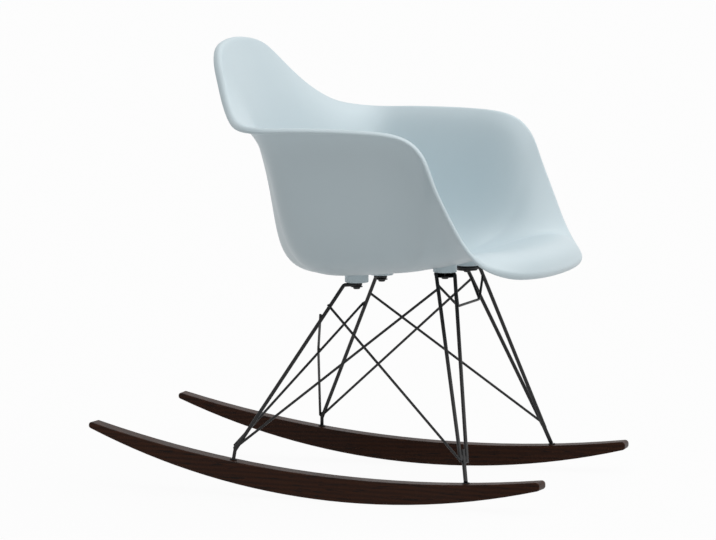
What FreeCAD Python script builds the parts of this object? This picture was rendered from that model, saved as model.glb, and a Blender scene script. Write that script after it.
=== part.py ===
"""Moulded armchair shell on a steel wire base with two wooden rockers.

Millimetres, +Z up, the sitter looks along -Y, X = 0 is the plane of symmetry.
The origin is on the floor below the middle of the chair's outline, which is
about 630 wide, 810 long and 760 high.
"""
import math
import os

import FreeCAD
import Part

V = FreeCAD.Vector

# Moulded shell
wall = 5.6
pole_y = -42.0
pole_z = 364.5
pole_radius = 46.0
pole_slope = -0.075
flange_radius = 3.0
flange_turn = math.radians(100.0)
flange_flat = 1.0
flange_reach = 12.0
radial_steps = 15
rim_steps = 88

# Bosses, inserts, screws and washers under the shell
boss_radius = 20.0
insert_radius = 5.0
insert_length = 9.0
screw_radius = 3.0
screw_grip = 7.5
head_radius = 6.0
head_height = 3.4
front_washer_radius = 17.3
rear_washer_radius = 10.0
washer_thickness = 1.6

# Wire base, welded from bent rod
rod = 6.4
brace = 4.4
pin = 7.0
bend_radius = 6.5
weld = 0.3
lap_end = 3.5
front_bar_z = 365.5
front_bar_middle = (74.0, -181.0)
front_bar_gap = 31.0
front_bar_turn = math.radians(22.0)
front_bar_reach = 15.0
rear_bar_z = 343.5
rear_bar_corner = (83.5, -4.5)
rear_bar_turn = math.radians(35.5)
rear_bar_reach = 24.0
rear_hook_radius = 6.3
rear_hook_tail = 10.0
front_pin_way = (-0.452, 0.238, 0.86)
front_pin_length = 60.0
front_rods_up = 39.0
rear_pin_way = (-0.24, -0.09, 0.966)
rear_pin_length = 22.5
rear_rod_up = 16.5
collar_radius = 6.0
collar_height = 2.0
outer_brace_heights = (307.8, 77.0)
inner_brace_heights = (343.3, 80.0)
inner_brace_side = 0.15
straight_brace_heights = (288.3, 80.0)
bowed_brace_heights = (291.0, 77.0)
bow_radius = 300.0
tie_corner = (58.0, -198.0, 312.0)
tie_bend = 9.0
tie_height = 352.0
strut_height = 350.0

# Rockers
rocker_width = 32.0
rocker_middle = 226.0
rocker_toe = 0.0585
rocker_reach = 405.0
bottom_radius = 1270.0
bottom_y = -90.0
top_radius = 2113.0
top_y = -146.0
top_z = 38.0
rear_tip_radius = 4.6
front_tip_radius = 6.0
rocker_edge = 2.5
front_foot_y = -272.0
rear_foot_y = 144.0
stud_radius = 3.0
stud_hole = 3.3
recess_radius = 9.0
recess_depth = 9.0
nut_flats = 10.0
nut_height = 5.0
nut_washer_radius = 7.0
nut_washer = 1.2

# Rows round the shell, from the middle of the front lip round one arm to the
# top of the back. Each holds the rim point (x, y, z), the direction in which
# the inner face runs out at the rim (x, y, z), how far the seat runs out flat
# from the middle, how far towards the wall its foot lies, how high that foot
# lies above the seat, and how far the wall runs straight below the rim.
rim_rows = (
    (0.0, -356.0, 367.0, 0.0, -0.25, -1.0, 90.0, 0.62, 26.0, 40.0),
    (120.0, -349.0, 369.0, 0.02, -0.28, -1.0, 96.0, 0.62, 26.0, 40.0),
    (198.0, -332.0, 375.0, 0.2, -0.42, -0.8, 104.0, 0.64, 26.0, 40.0),
    (250.0, -309.0, 395.0, 0.62, -0.58, -0.25, 112.0, 0.68, 26.0, 40.0),
    (272.0, -283.0, 430.0, 0.86, -0.42, 0.25, 116.0, 0.74, 24.0, 44.0),
    (284.0, -260.0, 476.0, 0.78, -0.33, 0.5, 122.0, 0.8, 22.0, 54.0),
    (291.0, -236.0, 532.0, 0.6, -0.24, 0.78, 130.0, 0.88, 20.0, 66.0),
    (296.0, -210.0, 583.0, 0.5, -0.14, 0.85, 138.0, 0.92, 20.0, 72.0),
    (304.0, -175.0, 612.0, 0.45, -0.08, 0.86, 142.0, 0.94, 20.0, 74.0),
    (311.0, -105.0, 619.0, 0.42, 0.0, 0.87, 144.0, 0.94, 20.0, 76.0),
    (315.0, 0.0, 621.0, 0.5, 0.04, 0.8, 138.0, 0.92, 20.0, 76.0),
    (315.0, 64.0, 621.0, 0.76, 0.26, 0.54, 122.0, 0.86, 22.0, 66.0),
    (292.0, 108.0, 625.0, 0.76, 0.5, 0.42, 108.0, 0.82, 24.0, 66.0),
    (246.0, 142.0, 640.0, 0.62, 0.6, 0.5, 98.0, 0.8, 26.0, 70.0),
    (200.0, 171.0, 665.0, 0.36, 0.66, 0.66, 94.0, 0.79, 28.0, 90.0),
    (168.0, 191.0, 695.0, 0.2, 0.62, 0.76, 92.0, 0.79, 32.0, 115.0),
    (134.0, 208.0, 725.0, 0.12, 0.57, 0.81, 92.0, 0.8, 34.0, 137.0),
    (90.0, 222.0, 746.0, 0.06, 0.52, 0.85, 94.0, 0.82, 36.0, 152.0),
    (0.0, 232.0, 757.0, 0.0, 0.5, 0.87, 96.0, 0.84, 36.0, 162.0),
)


def add(a, b, scale=1.0):
    """Return a + b * scale for two points."""
    return (a[0] + b[0] * scale, a[1] + b[1] * scale, a[2] + b[2] * scale)


def unit(a):
    """Return a with length one."""
    size = math.sqrt(a[0] ** 2 + a[1] ** 2 + a[2] ** 2)
    return (a[0] / size, a[1] / size, a[2] / size)


def cross(a, b):
    """Return the cross product of two vectors."""
    return (
        a[1] * b[2] - a[2] * b[1],
        a[2] * b[0] - a[0] * b[2],
        a[0] * b[1] - a[1] * b[0],
    )


def rim_loop():
    """Return the rim rows for the whole loop, the left side mirrored."""
    rows = [list(row) for row in rim_rows]
    for row in reversed(rim_rows[1:-1]):
        rows.append([-row[0], row[1], row[2], -row[3]] + list(row[4:]))
    return rows


def blend_rows(rows, where):
    """Return the row at a place along the closed loop by a cubic blend."""
    count = len(rows)
    start = int(math.floor(where))
    t = where - start
    picked = [rows[(start + k) % count] for k in (-1, 0, 1, 2)]
    out = []
    for a, b, c, d in zip(*picked):
        out.append(
            0.5 * (2.0 * b + (c - a) * t + (2.0 * a - 5.0 * b + 4.0 * c - d) * t ** 2
                   + (3.0 * b - a - 3.0 * c + d) * t ** 3)
        )
    return out


def even_places(rows, count):
    """Return places along the loop that are evenly spaced on the rim."""
    fine = 24 * len(rows)
    reached = [0.0]
    last = blend_rows(rows, 0.0)
    for k in range(1, fine + 1):
        here = blend_rows(rows, len(rows) * k / fine)
        reached.append(reached[-1] + math.dist(here[:3], last[:3]))
        last = here
    places = []
    k = 0
    for i in range(count):
        target = reached[-1] * i / count
        while reached[k + 1] < target:
            k += 1
        share = (target - reached[k]) / (reached[k + 1] - reached[k])
        places.append(len(rows) * (k + share) / fine)
    return places


def spline_point(hull, t):
    """Return a point on the clamped cubic through five control points.

    The curve has two spans, so t runs from 0 to 2.
    """
    knots = (0.0, 0.0, 0.0, 0.0, 1.0, 2.0, 2.0, 2.0, 2.0)
    span = 4 if t >= 1.0 else 3
    work = [hull[span - 3 + k] for k in range(4)]
    for level in range(1, 4):
        for k in range(3, level - 1, -1):
            low = knots[span - 3 + k]
            high = knots[span + 1 + k - level]
            share = (t - low) / (high - low)
            work[k] = add(add((0.0, 0.0, 0.0), work[k - 1], 1.0 - share), work[k], share)
    return work[3]


def inner_profile(row, rim_way):
    """Return points on the inner face from the seat's middle to the rim.

    rim_way is the direction of the rim at this row.
    """
    way = unit(row[3:6])
    side = unit(cross(rim_way, way))
    rim = add(tuple(row[:3]), way, -flange_radius - wall)
    rim = add(rim, side, -flange_reach)
    angle = math.atan2(rim[1] - pole_y, rim[0])
    out = (math.cos(angle), math.sin(angle), pole_slope * math.sin(angle))
    first = add((0.0, pole_y, pole_z), out, pole_radius)
    second = add(first, out, row[6])
    fourth = add(rim, way, -row[9])
    lift = row[8] + pole_slope * (fourth[1] - second[1])
    foot = (
        second[0] + (fourth[0] - second[0]) * row[7],
        second[1] + (fourth[1] - second[1]) * row[7],
        second[2] + lift,
    )
    points = []
    hull = (first, second, foot, fourth, rim)
    for k in range(radial_steps + 1):
        points.append(spline_point(hull, 2.0 * k / radial_steps))
    return points, way


def shell_grid():
    """Return the closed shell skin as columns of points round the seat.

    Each column starts on the inner face at the middle of the seat, runs out
    to the rim, turns round the flange and comes back on the outer face.
    """
    rows = rim_loop()
    columns = []
    ways = []
    for place in even_places(rows, rim_steps):
        ahead = blend_rows(rows, place + 0.05)
        behind = blend_rows(rows, place - 0.05)
        points, way = inner_profile(blend_rows(rows, place), add(ahead, behind, -1.0))
        columns.append(points)
        ways.append(way)
    normals = []
    for i, column in enumerate(columns):
        before = columns[i - 1]
        after = columns[(i + 1) % len(columns)]
        line = []
        for j, point in enumerate(column):
            inward = column[max(j - 1, 0)]
            outward = column[min(j + 1, len(column) - 1)]
            radial = add(outward, inward, -1.0)
            round_way = add(after[j], before[j], -1.0)
            line.append(unit(cross(radial, round_way)))
        line[0] = unit((0.0, -pole_slope, 1.0))
        normals.append(line)
    grid = []
    for i, column in enumerate(columns):
        along = unit(add(column[-1], column[-2], -1.0))
        out = add((0.0, 0.0, 0.0), normals[i][-1], -1.0)
        section = []
        for point, normal in zip(column, normals[i]):
            section.append((point, add(point, normal, -wall)))
        bend = add(column[-1], out, flange_radius + wall)
        for k in range(1, 6):
            turn = flange_turn * k / 5.0
            ray = add(add((0, 0, 0), out, -math.cos(turn)), along, math.sin(turn))
            section.append((add(bend, ray, flange_radius + wall), add(bend, ray, flange_radius)))
        last_in, last_out = section[-1]
        ray = unit(add(last_in, last_out, -1.0))
        ahead = unit(add(add((0, 0, 0), along, math.cos(flange_turn)), out, math.sin(flange_turn)))
        section.append((add(last_in, ahead, flange_flat), add(last_out, ahead, flange_flat)))
        line = [pair[0] for pair in section]
        middle = add(add((0, 0, 0), section[-1][0], 0.5), section[-1][1], 0.5)
        for k in range(1, 6):
            turn = math.pi * k / 6.0
            reach = add(add((0, 0, 0), ray, math.cos(turn)), ahead, math.sin(turn))
            line.append(add(middle, reach, 0.5 * wall))
        line += [pair[1] for pair in reversed(section)]
        grid.append(line)
    return grid


def shell_solid():
    """Return the moulded shell as one solid with its four bosses."""
    grid = shell_grid()
    poles = [[V(*point) for point in column] for column in grid]
    rows = len(poles)
    count = len(poles[0])
    surface = Part.BSplineSurface()
    inner = [float(k) for k in range(count - 2)]
    surface.buildFromPolesMultsKnots(
        poles,
        [1] * (rows + 1),
        [4] + [1] * (count - 4) + [4],
        [float(k) for k in range(rows + 1)],
        inner,
        True,
        False,
        3,
        3,
    )
    skin = surface.toShape()
    caps = []
    for place in (inner[0], inner[-1]):
        edge = surface.vIso(place).toShape()
        caps.append(Part.Face(Part.Wire([edge])))
    shell = Part.makeShell([skin] + caps)
    shell.sewShape()
    solid = Part.Solid(shell)
    solid.fix(0.01, 0.01, 0.01)
    if solid.Volume < 0:
        solid.reverse()
    return solid


def largest(shape):
    """Return the largest solid of a shape."""
    return max(shape.Solids, key=lambda one: one.Volume)


def mirrored(shape):
    """Return a copy of a shape on the other side of X = 0."""
    return shape.mirror(V(0, 0, 0), V(1, 0, 0))


def pipe(points, diameter, radius=0.0):
    """Return a round bar along a line of points with rounded corners."""
    spots = [V(*point) for point in points]
    pieces = []
    start = spots[0]
    for k in range(1, len(spots) - 1):
        corner = spots[k]
        back = (spots[k - 1] - corner).normalize()
        ahead = (spots[k + 1] - corner).normalize()
        half = 0.5 * back.getAngle(ahead)
        reach = radius / math.tan(half)
        first = corner + back * reach
        centre = corner + (back + ahead).normalize() * (radius / math.sin(half))
        pieces.append(bar(start, first, diameter))
        pieces.append(elbow(first, -back, centre, math.pi - 2.0 * half, diameter))
        start = corner + ahead * reach
    pieces.append(bar(start, spots[-1], diameter))
    return pieces[0].fuse(pieces[1:]) if len(pieces) > 1 else pieces[0]


def elbow(start, way, centre, turn, diameter):
    """Return a bent stretch of round bar that turns about a centre."""
    circle = Part.Circle(start, way, 0.5 * diameter).toShape()
    face = Part.Face(Part.Wire([circle]))
    axis = (start - centre).cross(way).normalize()
    return face.revolve(centre, axis, math.degrees(turn))


def bar(start, end, diameter):
    """Return a straight round bar between two points."""
    way = end - start
    return Part.makeCylinder(0.5 * diameter, way.Length, start, way)


def rocker_line(y):
    """Return the distance of the rocker's middle plane from X = 0."""
    return rocker_middle - rocker_toe * y


def top_height(y):
    """Return the height of the rocker's top face."""
    return top_z + top_radius - math.sqrt(top_radius ** 2 - (y - top_y) ** 2)


def bottom_height(y):
    """Return the height of the rocker's rolling face."""
    return bottom_radius - math.sqrt(bottom_radius ** 2 - (y - bottom_y) ** 2)


class Foot:
    """One place where a leg stands on a rocker.

    spot is where the pin meets the rocker's top, down the axis of the stud,
    and way the direction of the pin.
    """

    def __init__(self, y, way):
        tilt = math.asin((y - top_y) / top_radius)
        self.spot = V(rocker_line(y), y, top_height(y))
        self.down = V(0.0, math.sin(tilt), -math.cos(tilt))
        self.way = V(*way).normalize()
        self.depth = (self.spot.z - bottom_height(y)) / math.cos(tilt)

    def up(self, distance):
        """Return the point on the pin's axis at a distance from the rocker."""
        return self.spot + self.way * distance


front_foot = Foot(front_foot_y, front_pin_way)
rear_foot = Foot(rear_foot_y, rear_pin_way)


def foot_pin(foot, length):
    """Return a leaning pin with its collar and the stud through the rocker."""
    leaning = bar(foot.up(3.2), foot.up(length), pin)
    collar = Part.makeCylinder(collar_radius, collar_height, foot.spot, -foot.down)
    reach = foot.depth - 1.5
    stud = Part.makeCylinder(stud_radius, reach + 1.0, foot.spot - foot.down, foot.down)
    return largest(leaning.fuse([collar, stud]).removeSplitter())


def foot_hardware(foot):
    """Return the nut and the washer in the recess under the rocker."""
    seat = foot.spot + foot.down * (foot.depth - recess_depth)
    ring = Part.makeCylinder(nut_washer_radius, nut_washer, seat, foot.down)
    hole = Part.makeCylinder(stud_radius, nut_washer, seat, foot.down)
    washer = largest(ring.cut(hole))
    base = seat + foot.down * nut_washer
    across = V(1.0, 0.0, 0.0)
    other = foot.down.cross(across)
    corners = []
    for k in range(7):
        turn = math.pi * k / 3.0
        reach = across * math.cos(turn) + other * math.sin(turn)
        corners.append(base + reach * (nut_flats / math.sqrt(3.0)))
    face = Part.Face(Part.makePolygon(corners))
    body = face.extrude(foot.down * nut_height)
    bore = Part.makeCylinder(stud_radius, nut_height, base, foot.down)
    return largest(body.cut(bore)), washer


def rocker():
    """Return the left rocker with its bored and recessed stud holes."""
    turn = math.atan(rocker_toe)
    stretch = 1.0 / math.cos(turn)

    def place(y, height):
        return V(0.0, y * stretch, height)

    front = -rocker_reach
    rear = rocker_reach
    low = Part.Arc(
        place(front, bottom_height(front)),
        place(0.0, bottom_height(0.0)),
        place(rear, bottom_height(rear)),
    ).toShape()
    high = Part.Arc(
        place(rear, top_height(rear)),
        place(0.0, top_height(0.0)),
        place(front, top_height(front)),
    ).toShape()
    back = Part.makeLine(place(rear, bottom_height(rear)), place(rear, top_height(rear)))
    nose = Part.makeLine(place(front, top_height(front)), place(front, bottom_height(front)))
    face = Part.Face(Part.Wire([low, back, high, nose]))
    body = face.extrude(V(rocker_width, 0.0, 0.0))
    body.translate(V(-0.5 * rocker_width, 0.0, 0.0))
    for tip, size in ((rear * stretch, rear_tip_radius), (front * stretch, front_tip_radius)):
        corners = []
        for edge in body.Edges:
            flat = edge.BoundBox.YLength < 0.01 and edge.BoundBox.ZLength < 0.01
            if flat and abs(edge.CenterOfMass.y - tip) < 0.5:
                corners.append(edge)
        body = body.makeFillet(size, corners)
    sides = []
    for edge in body.Edges:
        if edge.BoundBox.XLength < 0.01:
            sides.append(edge)
    body = body.makeFillet(rocker_edge, sides)
    body.rotate(V(0, 0, 0), V(0, 0, 1), math.degrees(turn))
    body.translate(V(rocker_middle, 0.0, 0.0))
    for foot in (front_foot, rear_foot):
        start = foot.spot - foot.down * 5.0
        hole = Part.makeCylinder(stud_hole, foot.depth + 10.0, start, foot.down)
        seat = foot.spot + foot.down * (foot.depth - recess_depth)
        recess = Part.makeCylinder(recess_radius, recess_depth + 5.0, seat, foot.down)
        body = body.cut(hole).cut(recess)
    return largest(body)


def front_corners():
    """Return where the front leg's two rods bend into its head, rear one first."""
    half = 0.5 * front_bar_gap
    x, y = front_bar_middle
    reach = V(math.sin(front_bar_turn), math.cos(front_bar_turn), 0.0) * half
    middle = V(x, y, front_bar_z)
    return middle + reach, middle - reach


def front_screw():
    """Return the middle of the front leg's head."""
    x, y = front_bar_middle
    return (
        x - front_bar_reach * math.cos(front_bar_turn),
        y + front_bar_reach * math.sin(front_bar_turn),
    )


def front_ends():
    """Return where the front leg's rods end beside the pin, rear one first."""
    end = front_foot.up(front_rods_up)
    across = V(0.88, 0.47, 0.0)
    side = (across - front_foot.way * across.dot(front_foot.way)).normalize()
    side = side * (0.5 * (rod + pin) - weld)
    return end + side, end - side


def front_leg():
    """Return the front leg, a hairpin whose head is bent in under the seat."""
    inward = V(-math.cos(front_bar_turn), math.sin(front_bar_turn), 0.0) * front_bar_reach
    sides = []
    for corner, end in zip(front_corners(), front_ends()):
        sides.append(pipe([end, corner, corner + inward], rod, bend_radius))
    start = front_corners()[0] + inward
    head = elbow(start, inward, V(*front_screw(), front_bar_z), math.pi, rod)
    return largest(sides[0].fuse([head, sides[1]]))


def rear_head():
    """Return the rear leg's corner and the ways along and across its head."""
    along_bar = V(-math.sin(rear_bar_turn), -math.cos(rear_bar_turn), 0.0)
    across_bar = V(-math.cos(rear_bar_turn), math.sin(rear_bar_turn), 0.0)
    return V(*rear_bar_corner, rear_bar_z), along_bar, across_bar


def rear_screw():
    """Return the middle of the rear leg's hook."""
    corner, along_bar, across_bar = rear_head()
    middle = corner + along_bar * rear_bar_reach + across_bar * rear_hook_radius
    return (middle.x, middle.y)


def rear_leg():
    """Return the rear leg, one rod whose head is a hook round the screw."""
    corner, along_bar, across_bar = rear_head()
    turn_start = corner + along_bar * rear_bar_reach
    turn_end = turn_start + across_bar * (2.0 * rear_hook_radius)
    leg = pipe([rear_foot.up(rear_rod_up), corner, turn_start], rod, bend_radius)
    hook = elbow(turn_start, along_bar, V(*rear_screw(), rear_bar_z), math.pi, rod)
    tail = bar(turn_end, turn_end - along_bar * rear_hook_tail, rod)
    return largest(leg.fuse([hook, tail]))


def at_height(start, end, height):
    """Return the point of a straight rod at a height."""
    return start + (end - start) * ((height - start.z) / (end.z - start.z))


def lapped(first, first_way, first_side, last, last_way, last_side):
    """Return where a brace between two rods starts and ends.

    A side of 1 or -1 lays the brace against that side of the rod, 0 lets it
    meet the rod's axis.
    """
    way = (last - first).normalize()
    off = 0.5 * (rod + brace) - weld
    start = first + way.cross(first_way).normalize() * (off * first_side)
    end = last + way.cross(last_way).normalize() * (off * last_side)
    start = start - way * (lap_end * abs(first_side))
    end = end + way * (lap_end * abs(last_side))
    return start, end


def nearest(first, last, start, end):
    """Return the points where two straight bars pass closest to each other."""
    way = last - first
    other = end - start
    across = way.cross(other)
    gap = start - first
    share = gap.cross(other).dot(across) / across.dot(across)
    other_share = gap.cross(way).dot(across) / across.dot(across)
    return first + way * share, start + other * other_share


def wall_span(shell, x, y):
    """Return the heights where the seat's wall begins and ends at a place."""
    probe = Part.makeLine(V(x, y, 300.0), V(x, y, 470.0)).common(shell)
    heights = [vertex.Z for vertex in probe.Vertexes]
    return min(heights), max(heights)


def add_boss(shell, screw, bar_z):
    """Return the shell with one boss fused on and bored for its insert."""
    x, y = screw
    base = bar_z + 0.5 * rod
    tops = []
    for k in range(8):
        turn = math.pi * k / 4.0
        spot = (x + boss_radius * math.cos(turn), y + boss_radius * math.sin(turn))
        tops.append(wall_span(shell, *spot)[1])
    boss = Part.makeCylinder(boss_radius, min(tops) - 0.8 - base, V(x, y, base))
    bore = Part.makeCylinder(insert_radius, insert_length, V(x, y, base))
    return largest(shell.fuse(boss).cut(bore))


def mount_hardware(screw, bar_z, washer_radius):
    """Return the insert, the screw and the washer of one mount."""
    x, y = screw
    base = bar_z + 0.5 * rod
    insert = Part.makeCylinder(insert_radius, insert_length, V(x, y, base))
    insert = largest(insert.cut(Part.makeCylinder(screw_radius, insert_length, V(x, y, base))))
    seat = bar_z - 0.5 * rod
    washer = Part.makeCylinder(washer_radius, washer_thickness, V(x, y, seat - washer_thickness))
    hole = Part.makeCylinder(screw_radius, washer_thickness, V(x, y, seat - washer_thickness))
    washer = largest(washer.cut(hole))
    under = seat - washer_thickness
    shank = Part.makeCylinder(screw_radius, base + screw_grip - under, V(x, y, under))
    head = Part.makeCylinder(head_radius, head_height, V(x, y, under - head_height))
    edge = [e for e in head.Edges if abs(e.CenterOfMass.z - under + head_height) < 0.01]
    head = head.makeChamfer(0.35 * head_height, edge)
    socket = Part.makeCylinder(2.3, 1.8, V(x, y, under - head_height))
    screw = largest(head.cut(socket).fuse(shank).removeSplitter())
    return insert, screw, washer


def export(name, shapes):
    """Write one shape, or a group of them, to its STEP file."""
    group = list(shapes)
    shape = group[0] if len(group) == 1 else Part.makeCompound(group)
    for one in group:
        if not one.isValid():
            print("not valid:", name)
    shape.exportStep("parts/" + name + ".step")


def build():
    """Return every piece of the chair by name."""
    shell = shell_solid()
    for (x, y), bar_z in ((front_screw(), front_bar_z), (rear_screw(), rear_bar_z)):
        shell = add_boss(shell, (x, y), bar_z)
        shell = add_boss(shell, (-x, y), bar_z)
    pieces = {"seat_shell": [shell]}

    front = mount_hardware(front_screw(), front_bar_z, front_washer_radius)
    rear = mount_hardware(rear_screw(), rear_bar_z, rear_washer_radius)
    pieces["shell_inserts"] = [front[0], mirrored(front[0]), rear[0], mirrored(rear[0])]
    pieces["mount_screws"] = [front[1], mirrored(front[1]), rear[1], mirrored(rear[1])]
    pieces["front_mount_washers"] = [front[2], mirrored(front[2])]
    pieces["rear_mount_washers"] = [rear[2], mirrored(rear[2])]

    left = rocker()
    front_pin = largest(foot_pin(front_foot, front_pin_length).cut(left))
    rear_pin = largest(foot_pin(rear_foot, rear_pin_length).cut(left))
    pieces["front_foot_pins"] = [front_pin, mirrored(front_pin)]
    pieces["rear_foot_pins"] = [rear_pin, mirrored(rear_pin)]

    leg_front = largest(front_leg().cut(front_pin))
    leg_rear = largest(rear_leg().cut(rear_pin))
    pieces["front_leg_left"] = [leg_front]
    pieces["front_leg_right"] = [mirrored(leg_front)]
    pieces["rear_leg_left"] = [leg_rear]
    pieces["rear_leg_right"] = [mirrored(leg_rear)]

    rear_top = rear_head()[0]
    rear_end = rear_foot.up(rear_rod_up)
    rear_way = (rear_top - rear_end).normalize()
    (hind_top, fore_top), (hind_end, fore_end) = front_corners(), front_ends()
    hind_way = (hind_top - hind_end).normalize()
    fore_way = (fore_top - fore_end).normalize()

    high, low = outer_brace_heights
    start, end = lapped(
        at_height(rear_top, rear_end, high), rear_way, -1.0,
        at_height(hind_top, hind_end, low), hind_way, -1.0,
    )
    outer = bar(start, end, brace)
    outer = largest(outer.cut(leg_rear.fuse([leg_front, front_pin])))
    high, low = inner_brace_heights
    start, end = lapped(
        at_height(hind_top, hind_end, high), hind_way, inner_brace_side,
        at_height(rear_top, rear_end, low), rear_way, inner_brace_side,
    )
    inner = bar(start, end, brace)
    inner = largest(inner.cut(leg_rear.fuse([leg_front, rear_pin, outer])))
    pieces["side_brace_outer_left"] = [outer]
    pieces["side_brace_outer_right"] = [mirrored(outer)]
    pieces["side_brace_inner_left"] = [inner]
    pieces["side_brace_inner_right"] = [mirrored(inner)]

    far_top = V(-rear_top.x, rear_top.y, rear_top.z)
    far_end = V(-rear_end.x, rear_end.y, rear_end.z)
    far_way = V(-rear_way.x, rear_way.y, rear_way.z)
    high, low = straight_brace_heights
    start, end = lapped(
        at_height(rear_top, rear_end, high), rear_way, 1.0,
        at_height(far_top, far_end, low), far_way, 1.0,
    )
    high, low = bowed_brace_heights
    bow_start, bow_end = lapped(
        at_height(far_top, far_end, high), far_way, -1.0,
        at_height(rear_top, rear_end, low), rear_way, -1.0,
    )
    crossing = nearest(start, end, bow_start, bow_end)[0]
    behind = (end - start).cross(bow_end - bow_start).normalize()
    if behind.y < 0.0:
        behind = -behind
    middle = crossing + behind * (brace - weld)
    legs = leg_rear.fuse([mirrored(leg_rear), rear_pin, mirrored(rear_pin)])
    straight = largest(bar(start, end, brace).cut(legs))
    bowed = pipe([tuple(bow_start), tuple(middle), tuple(bow_end)], brace, bow_radius)
    bowed = largest(bowed.cut(legs).cut(straight))
    pieces["rear_brace_straight"] = [straight]
    pieces["rear_brace_bowed"] = [bowed]

    corner = V(*tie_corner)
    start = at_height(fore_top, fore_end, tie_height)
    line = [start, corner, V(-corner.x, corner.y, corner.z), V(-start.x, start.y, start.z)]
    tie = pipe([tuple(spot) for spot in line], brace, tie_bend)
    tie = largest(tie.cut(leg_front.fuse(mirrored(leg_front))))
    pieces["front_tie"] = [tie]
    strut = bar(at_height(hind_top, hind_end, strut_height), corner, brace)
    strut = largest(strut.cut(leg_front.fuse([tie, inner])))
    pieces["tie_struts"] = [strut, mirrored(strut)]

    pieces["rocker_left"] = [left]
    pieces["rocker_right"] = [mirrored(left)]
    nuts = []
    washers = []
    for foot in (front_foot, rear_foot):
        nut, washer = foot_hardware(foot)
        nuts += [nut, mirrored(nut)]
        washers += [washer, mirrored(washer)]
    pieces["rocker_nuts"] = nuts
    pieces["rocker_washers"] = washers
    return pieces


if __name__ == "__main__":
    os.makedirs("parts", exist_ok=True)
    for name, shapes in build().items():
        export(name, shapes)
        volume = sum(one.Volume for one in shapes)
        print(name, len(shapes), round(volume, 1))
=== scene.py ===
"""Moulded armchair shell on a black wire base with two dark wooden rockers.

The sitter looks along -Y, +Z is up and X = 0 is the plane of symmetry. Sizes
in the classes are millimetres, and the meshes are made in metres.
"""

import logging
import math
from collections.abc import Sequence
from dataclasses import dataclass, field, replace
from enum import Enum

import bmesh
import bpy
from bpy.types import ID, Material, Node, NodeSocket, NodeTree, Object
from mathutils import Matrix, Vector
from mathutils.bvhtree import BVHTree


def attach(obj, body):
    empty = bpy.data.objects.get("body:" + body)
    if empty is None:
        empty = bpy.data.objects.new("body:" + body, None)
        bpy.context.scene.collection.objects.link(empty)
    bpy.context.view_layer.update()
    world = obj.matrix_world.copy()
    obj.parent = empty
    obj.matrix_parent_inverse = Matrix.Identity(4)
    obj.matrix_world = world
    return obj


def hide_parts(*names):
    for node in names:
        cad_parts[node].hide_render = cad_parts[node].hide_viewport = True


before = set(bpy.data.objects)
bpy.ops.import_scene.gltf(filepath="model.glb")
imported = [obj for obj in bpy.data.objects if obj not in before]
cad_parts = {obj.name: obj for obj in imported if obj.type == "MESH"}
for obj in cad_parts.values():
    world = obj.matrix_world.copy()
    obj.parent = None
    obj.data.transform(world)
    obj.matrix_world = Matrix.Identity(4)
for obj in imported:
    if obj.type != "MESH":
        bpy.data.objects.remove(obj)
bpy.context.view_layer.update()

LOG = logging.getLogger("rocking_chair")
MM = 0.001
CREASE = math.radians(32.0)

Pair = tuple[float, float]
Triple = tuple[float, float, float]
Feeds = dict[str | int, object]


class Side(Enum):
    """The two sides of the chair, as the sign of X."""

    LEFT = 1.0
    RIGHT = -1.0

    def place(self, point: Vector) -> Vector:
        """Return a left-hand point on this side."""
        return Vector((point.x * self.value, point.y, point.z))


class Slot(Enum):
    """The material slots of the chair's parts."""

    SHELL = "shell"
    WIRE = "wire"
    WOOD = "dark_wood"
    SCREW = "black_screw"
    BRASS = "brass_insert"
    STEEL = "plain_steel"


# Node trees


class TreeBuilder:
    """Short calls for building one tree of nodes."""

    def __init__(self, tree: NodeTree) -> None:
        """Keep the tree that the nodes go into."""
        self.tree = tree

    def join(self, start: NodeSocket, end: NodeSocket) -> None:
        """Link an output to an input."""
        self.tree.links.new(start, end)

    def feed(self, node: Node, inputs: Feeds) -> None:
        """Give each named input of a node its value or another node's output.

        Args:
            node: The node.
            inputs: What goes in, by the input's number or its name, in which
                an underscore stands for a space.
        """
        for key, value in inputs.items():
            socket = node.inputs[key.replace("_", " ") if isinstance(key, str) else key]
            if isinstance(value, NodeSocket):
                self.join(value, socket)
            else:
                socket.default_value = value

    def add(self, kind: str, inputs: Feeds | None = None, **values: object) -> Node:
        """Add a node.

        Args:
            kind: The node's type name.
            inputs: What its inputs are given.
            **values: Properties of the node.

        Returns:
            The new node.
        """
        node = self.tree.nodes.new(kind)
        for key, value in values.items():
            setattr(node, key, value)
        self.feed(node, inputs or {})
        return node

    def maths(self, operation: str, *terms: float | NodeSocket, clamp: bool = False) -> NodeSocket:
        """Return the result of a sum whose terms are numbers or sockets.

        Args:
            operation: The maths node's operation.
            *terms: Its terms.
            clamp: Whether the result is kept from 0 to 1.

        Returns:
            The result's socket.
        """
        terms_in = dict(enumerate(terms))
        node = self.add("ShaderNodeMath", terms_in, operation=operation, use_clamp=clamp)
        return node.outputs[0]

    def ranged(self, mask: NodeSocket, low: float, high: float) -> NodeSocket:
        """Return a mask spread between two values."""
        inputs = {"Value": mask, "To Min": low, "To Max": high}
        return self.add("ShaderNodeMapRange", inputs).outputs["Result"]


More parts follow.
